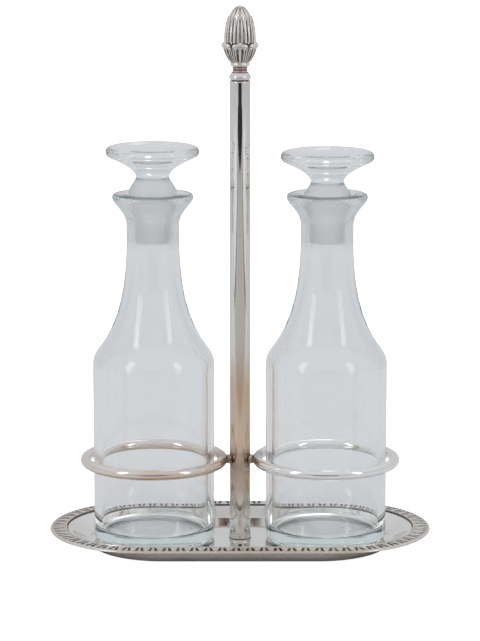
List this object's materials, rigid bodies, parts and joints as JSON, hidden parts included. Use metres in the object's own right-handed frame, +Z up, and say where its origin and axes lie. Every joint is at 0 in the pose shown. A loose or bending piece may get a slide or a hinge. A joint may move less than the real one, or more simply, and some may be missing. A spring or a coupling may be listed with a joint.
{
  "type": "cruet set",
  "caption": "Stoppered glass oil and vinegar bottles held in rings on a round-ended plated tray, with a central carrying column and a leaf-bud finial.",
  "frame": {"origin": "centre of the foot ring's bottom face, on the surface the stand rests on", "axes": "+Z up along the column; +X along the tray's long side, towards the right bottle; -Y is the front"},
  "size_m": [0.2, 0.104, 0.2828],
  "materials": {
    "tray_silver": "mirror-polished silver plate with fine wiping scratches and faint warm tarnish",
    "border_silver": "die-stamped silver plate, dark oxide left in the recesses",
    "foot_silver": "silver plate, dull and browned on its underside",
    "collar_silver": "turned silver plate with warm tarnish in its grooves",
    "column_silver": "drawn silver-plated tube, browned toward its foot",
    "ring_left_silver": "silver-plated wire with a peach tarnish",
    "ring_right_silver": "silver-plated wire, lightly scratched",
    "stub_silver": "brazed silver plate, dark tarnish",
    "finial_silver": "cast and chased silver plate, dark oxide in the recesses",
    "washer_brass": "plain turned brass",
    "bush_brass": "plain turned brass",
    "rod_steel": "drawn steel rod with a slotted head",
    "bottle_glass": "clear pressed glass, faint blue-green in its thick parts",
    "stopper_glass": "clear pressed glass with a ground plug"
  },
  "bodies": {
    "stand": {"tray": "tray_silver", "border_strip": "border_silver", "foot_ring": "foot_silver", "base_washer": "washer_brass", "tie_rod": "rod_steel", "base_collar": "collar_silver", "bottom_bush": "bush_brass", "column_tube": "column_silver", "top_bush": "bush_brass", "ring_left": "ring_left_silver", "ring_right": "ring_right_silver", "ring_stub_left": "stub_silver", "ring_stub_right": "stub_silver", "finial_collar": "collar_silver", "finial_calyx": "finial_silver", "finial_bud": "finial_silver"},
    "bottle_left": {"bottle_left": "bottle_glass"},
    "bottle_right": {"bottle_right": "bottle_glass"},
    "stopper_left": {"stopper_left": "stopper_glass"},
    "stopper_right": {"stopper_right": "stopper_glass"}
  },
  "joints": [
    {"name": "bottle_left_lift", "type": "slide", "parent": "stand", "child": "bottle_left", "axis": [0, 0, 1], "range_m": [0, 0.055]},
    {"name": "bottle_right_lift", "type": "slide", "parent": "stand", "child": "bottle_right", "axis": [0, 0, 1], "range_m": [0, 0.055]},
    {"name": "stopper_left_lift", "type": "slide", "parent": "bottle_left", "child": "stopper_left", "axis": [0, 0, 1], "range_m": [0, 0.04]},
    {"name": "stopper_right_lift", "type": "slide", "parent": "bottle_right", "child": "stopper_right", "axis": [0, 0, 1], "range_m": [0, 0.04]}
  ]
}
